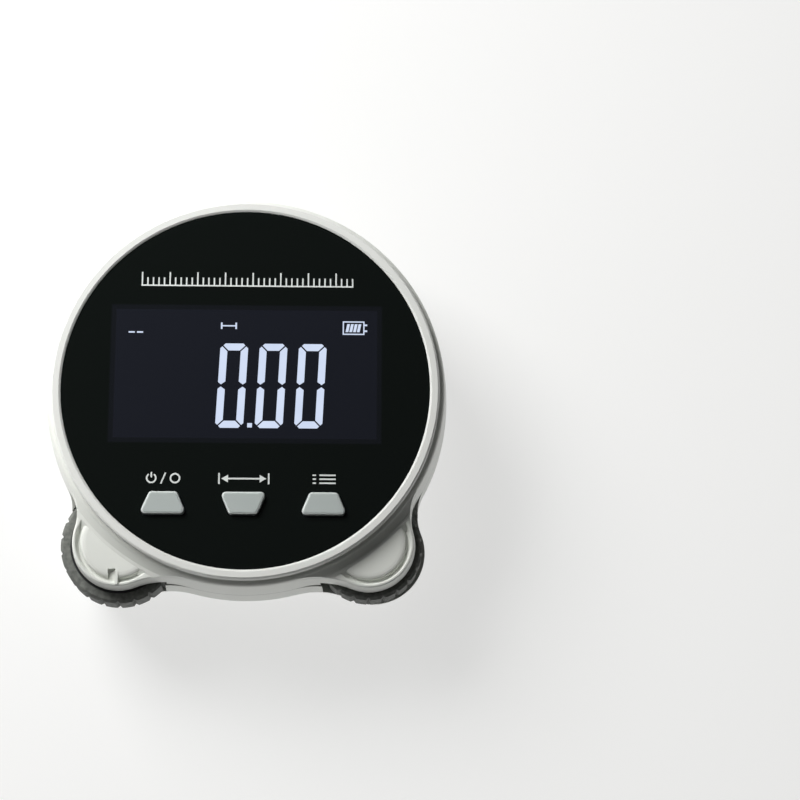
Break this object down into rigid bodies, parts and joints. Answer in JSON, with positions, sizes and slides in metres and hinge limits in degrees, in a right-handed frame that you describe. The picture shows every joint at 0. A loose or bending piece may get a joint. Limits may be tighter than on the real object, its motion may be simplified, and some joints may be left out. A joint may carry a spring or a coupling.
{
  "type": "round digital distance gauge with measuring wheels",
  "caption": "Palm-sized round rolling distance gauge: black glass face with numeric display and keys in a pale case, treaded measuring wheels at its lower corners.",
  "frame": {"origin": "centre of the flat rear face, on the axis of the round case; the gauge lies on its back", "axes": "+Z out of the display, +Y towards the top of the display, +X to the right of the display"},
  "size_m": [0.0728, 0.0744, 0.0258],
  "materials": {
    "case_front": "fine matte, warm light grey",
    "case_rear": "fine matte, warm light grey",
    "ring": "satin, bright",
    "lens": "high gloss, black",
    "tape": "matte black",
    "display": "polished, dark navy",
    "light_guide": "milky white",
    "pins": "tinned",
    "key": "fine matte, light grey",
    "dark_plastic": "matte black",
    "switch": "pressed sheet",
    "board": "solder mask, green",
    "steel": "turned, bright",
    "screw": "nickel plated",
    "socket": "drawn sheet, bright",
    "cell": "dull foil pouch",
    "foam": "open foam, dark",
    "lead": "smooth insulation",
    "hub": "matte dark grey",
    "tyre": "matte black rubber",
    "bush": "sintered bronze"
  },
  "bodies": {
    "case": {"rear_shell": "case_rear", "front_shell": "case_front", "bezel_ring": "ring", "face_lens": "lens", "lens_tape": "tape", "lcd_glass": "display", "lcd_backlight": "light_guide", "lcd_pins": "pins", "switch_cases": "switch", "main_board": "board", "board_chips": "dark_plastic", "board_screws": "screw", "usb_shell": "socket", "usb_tongue": "dark_plastic", "battery_cell": "cell", "battery_pad": "foam", "battery_leads": "lead", "rear_bushes": "bush", "front_bushes": "bush", "sensor_board": "board", "encoder_sensor": "dark_plastic", "sensor_leads": "pins", "case_screws": "screw"},
    "left_wheel": {"left_axle": "steel", "left_hub": "hub", "left_tyre": "tyre", "encoder_disc": "dark_plastic"},
    "right_wheel": {"right_axle": "steel", "right_hub": "hub", "right_tyre": "tyre", "right_spacer": "steel"},
    "zero_button": {"zero_key": "key", "zero_plunger": "dark_plastic"},
    "unit_button": {"unit_key": "key", "unit_plunger": "dark_plastic"},
    "memory_button": {"memory_key": "key", "memory_plunger": "dark_plastic"}
  },
  "joints": [
    {"name": "left_wheel_roll", "type": "hinge", "parent": "case", "child": "left_wheel", "pos_m": [-0.02228, -0.02751, 0.0155], "axis": [0, 0, 1], "continuous": true},
    {"name": "right_wheel_roll", "type": "hinge", "parent": "case", "child": "right_wheel", "pos_m": [0.02228, -0.02751, 0.0155], "axis": [0, 0, 1], "continuous": true},
    {"name": "zero_key_press", "type": "slide", "parent": "case", "child": "zero_button", "axis": [0, 0, -1], "range_m": [0, 0.0004], "stiffness_N_per_m": 1500, "springref_m": -0.0004},
    {"name": "unit_key_press", "type": "slide", "parent": "case", "child": "unit_button", "axis": [0, 0, -1], "range_m": [0, 0.0004], "stiffness_N_per_m": 1500, "springref_m": -0.0004},
    {"name": "memory_key_press", "type": "slide", "parent": "case", "child": "memory_button", "axis": [0, 0, -1], "range_m": [0, 0.0004], "stiffness_N_per_m": 1500, "springref_m": -0.0004}
  ]
}
